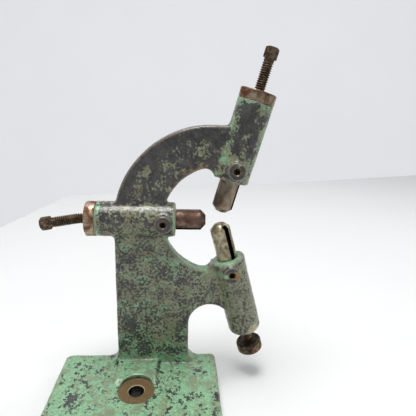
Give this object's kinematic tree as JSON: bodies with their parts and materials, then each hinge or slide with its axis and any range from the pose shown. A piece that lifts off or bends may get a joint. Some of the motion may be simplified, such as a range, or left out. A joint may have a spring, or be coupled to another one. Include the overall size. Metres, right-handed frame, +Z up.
{
  "type": "three-jaw steady rest",
  "caption": "Open-sided cast-iron steady rest: a C-shaped frame on a bolt-down base holds round keyed jaws that screws drive in and out towards one work centre.",
  "frame": {"origin": "where the axis of the bolt hole meets the underside of the base", "axes": "+Z up along the bolt hole, +X towards the frame's open side, +Y towards the back edge of the base, flush with the web"},
  "size_m": [0.1427, 0.075, 0.2148],
  "materials": {
    "green_casting": "worn, chipped green enamel over dark grey cast iron",
    "cap_steel": "turned steel with thin brown rust",
    "side_jaw_steel": "browned steel, bright on the bevel",
    "upper_jaw_steel": "stained steel",
    "lower_jaw_steel": "grey-beige steel, bright worn bevel",
    "screw_steel": "dark oiled and rusted thread",
    "round_head_steel": "dark head with worn brown edge",
    "pin_steel": "bright ground steel",
    "lock_screw_steel": "black oxide",
    "brass": "plain turned brass"
  },
  "bodies": {
    "frame": {"frame_casting": "green_casting", "side_cap": "cap_steel", "upper_cap": "cap_steel", "lower_plug": "cap_steel", "side_guide_key": "pin_steel", "upper_guide_key": "pin_steel", "lower_guide_key": "pin_steel"},
    "side_jaw": {"side_jaw": "side_jaw_steel", "side_cross_pin": "pin_steel"},
    "side_screw": {"side_screw": "screw_steel"},
    "side_lock_plug": {"side_lock_plug": "brass"},
    "side_lock_screw": {"side_lock_screw": "lock_screw_steel"},
    "upper_jaw": {"upper_jaw": "upper_jaw_steel", "upper_cross_pin": "pin_steel"},
    "upper_screw": {"upper_screw": "screw_steel"},
    "upper_lock_plug": {"upper_lock_plug": "brass"},
    "upper_lock_screw": {"upper_lock_screw": "lock_screw_steel"},
    "lower_jaw": {"lower_jaw": "lower_jaw_steel", "lower_cross_pin": "pin_steel"},
    "lower_screw": {"lower_screw": "round_head_steel"},
    "lower_lock_plug": {"lower_lock_plug": "brass"},
    "lower_lock_screw": {"lower_lock_screw": "lock_screw_steel"}
  },
  "joints": [
    {"name": "side_jaw_slide", "type": "slide", "parent": "frame", "child": "side_jaw", "axis": [-1, 0, 0], "range_m": [-0.00317, 0.01842]},
    {"name": "side_screw_turn", "type": "hinge", "parent": "side_jaw", "child": "side_screw", "pos_m": [-0.0113, 0.02979, 0.1127], "axis": [-1, 0, 0], "range_deg": [-905.73, 5225.73]},
    {"name": "side_lock_slide", "type": "slide", "parent": "frame", "child": "side_lock_plug", "axis": [0, -1, 0], "range_m": [0, 0.000794]},
    {"name": "side_lock_turn", "type": "hinge", "parent": "side_lock_plug", "child": "side_lock_screw", "pos_m": [0.0151, 0.02979, 0.1127], "axis": [0, -1, 0], "range_deg": [0, 361.15]},
    {"name": "upper_jaw_slide", "type": "slide", "parent": "frame", "child": "upper_jaw", "axis": [0.2588, 0, 0.9659], "range_m": [-0.00254, 0.02032]},
    {"name": "upper_screw_turn", "type": "hinge", "parent": "upper_jaw", "child": "upper_screw", "pos_m": [0.06423, 0.02979, 0.17066], "axis": [0.2588, 0, 0.9659], "range_deg": [-725.73, 5765.73]},
    {"name": "upper_lock_slide", "type": "slide", "parent": "frame", "child": "upper_lock_plug", "axis": [0, -1, 0], "range_m": [0, 0.000794]},
    {"name": "upper_lock_turn", "type": "hinge", "parent": "upper_lock_plug", "child": "upper_lock_screw", "pos_m": [0.0574, 0.02979, 0.14516], "axis": [0, -1, 0], "range_deg": [0, 361.15]},
    {"name": "lower_jaw_slide", "type": "slide", "parent": "frame", "child": "lower_jaw", "axis": [0.2723, 0, -0.9622], "range_m": [0, 0.01651]},
    {"name": "lower_screw_turn", "type": "hinge", "parent": "lower_jaw", "child": "lower_screw", "pos_m": [0.06504, 0.02979, 0.05497], "axis": [0.2723, 0, -0.9622], "range_deg": [0, 4685.73]},
    {"name": "lower_lock_slide", "type": "slide", "parent": "frame", "child": "lower_lock_plug", "axis": [0, -1, 0], "range_m": [0, 0.000794]},
    {"name": "lower_lock_turn", "type": "hinge", "parent": "lower_lock_plug", "child": "lower_lock_screw", "pos_m": [0.05785, 0.02979, 0.08037], "axis": [0, -1, 0], "range_deg": [0, 361.15]}
  ],
  "couplings": [
    {"joint": "side_screw_turn", "follows": "side_jaw_slide", "rad_per_m": 4947.4},
    {"joint": "side_lock_turn", "follows": "side_lock_slide", "rad_per_m": 7915.8},
    {"joint": "upper_screw_turn", "follows": "upper_jaw_slide", "rad_per_m": 4947.4},
    {"joint": "upper_lock_turn", "follows": "upper_lock_slide", "rad_per_m": 7915.8},
    {"joint": "lower_screw_turn", "follows": "lower_jaw_slide", "rad_per_m": 4947.4},
    {"joint": "lower_lock_turn", "follows": "lower_lock_slide", "rad_per_m": 7915.8}
  ]
}
